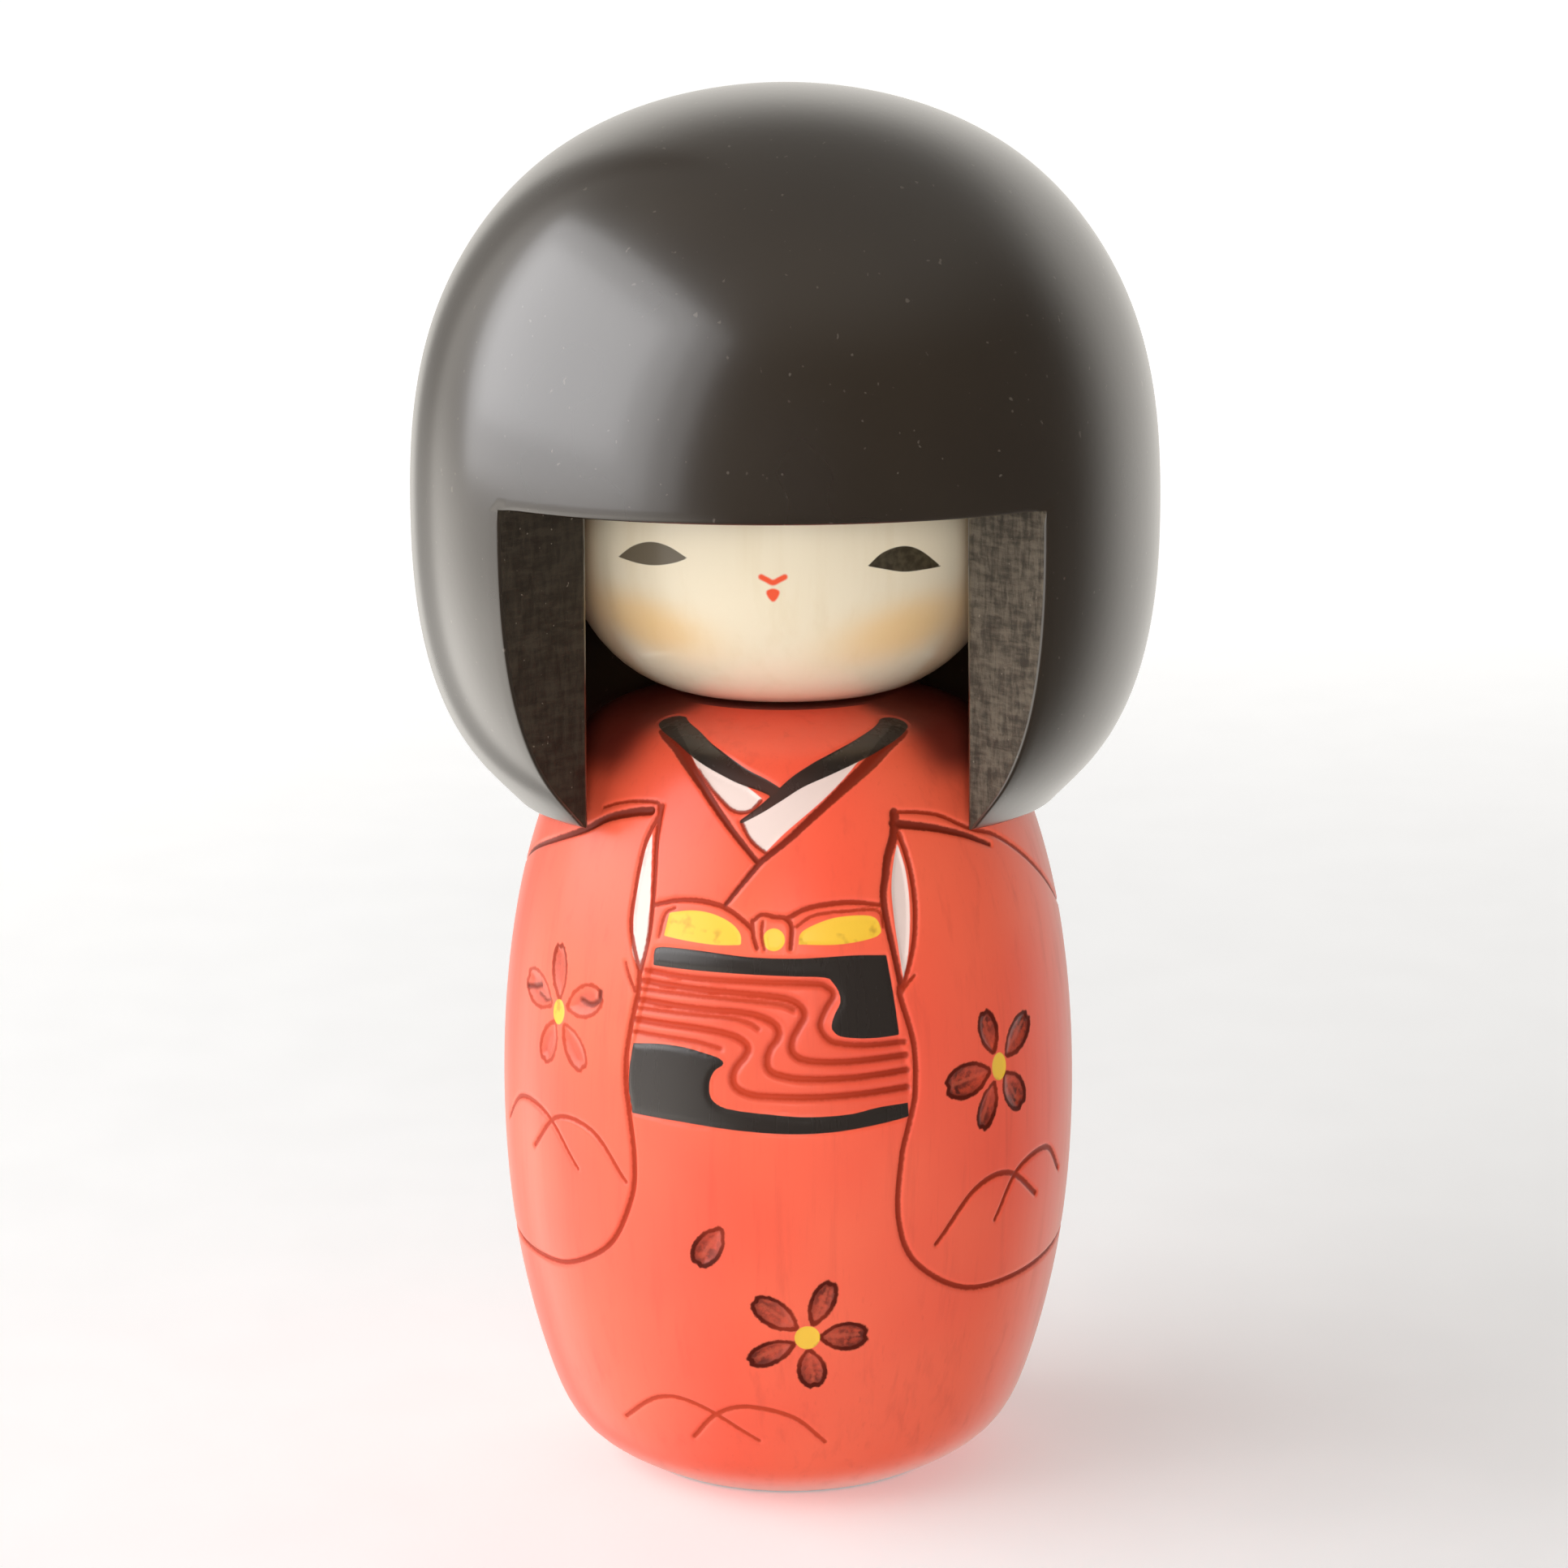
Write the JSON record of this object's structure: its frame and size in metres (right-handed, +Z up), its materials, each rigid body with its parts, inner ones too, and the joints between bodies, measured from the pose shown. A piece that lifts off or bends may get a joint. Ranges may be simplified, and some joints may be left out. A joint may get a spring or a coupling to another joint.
{
  "type": "kokeshi doll",
  "caption": "Turned wooden doll: a carved and painted barrel body under a bell of bobbed hair that holds a round face and turns on a captive neck peg.",
  "frame": {"origin": "the middle of the base, on the surface that the doll stands on", "axes": "+Z up along the turned axis, the doll faces -Y, +X is the doll's left side"},
  "size_m": [0.08, 0.0799, 0.15],
  "materials": {
    "stained_body": "coral stain under a thin satin varnish, carved lines and painted details",
    "hair_lacquer": "brown-black satin lacquer, side cuts left matt and dark",
    "face_lacquer": "pale wood under a glossy clear lacquer, painted features",
    "bare_wood": "bare turned wood"
  },
  "bodies": {
    "torso": {"body": "stained_body"},
    "head": {"hair": "hair_lacquer", "face": "face_lacquer", "crown_dowel": "bare_wood", "neck_peg": "bare_wood"}
  },
  "joints": [
    {"name": "head_turn", "type": "hinge", "parent": "torso", "child": "head", "pos_m": [0, 0, 0.0854], "axis": [0, 0, 1], "continuous": true}
  ]
}
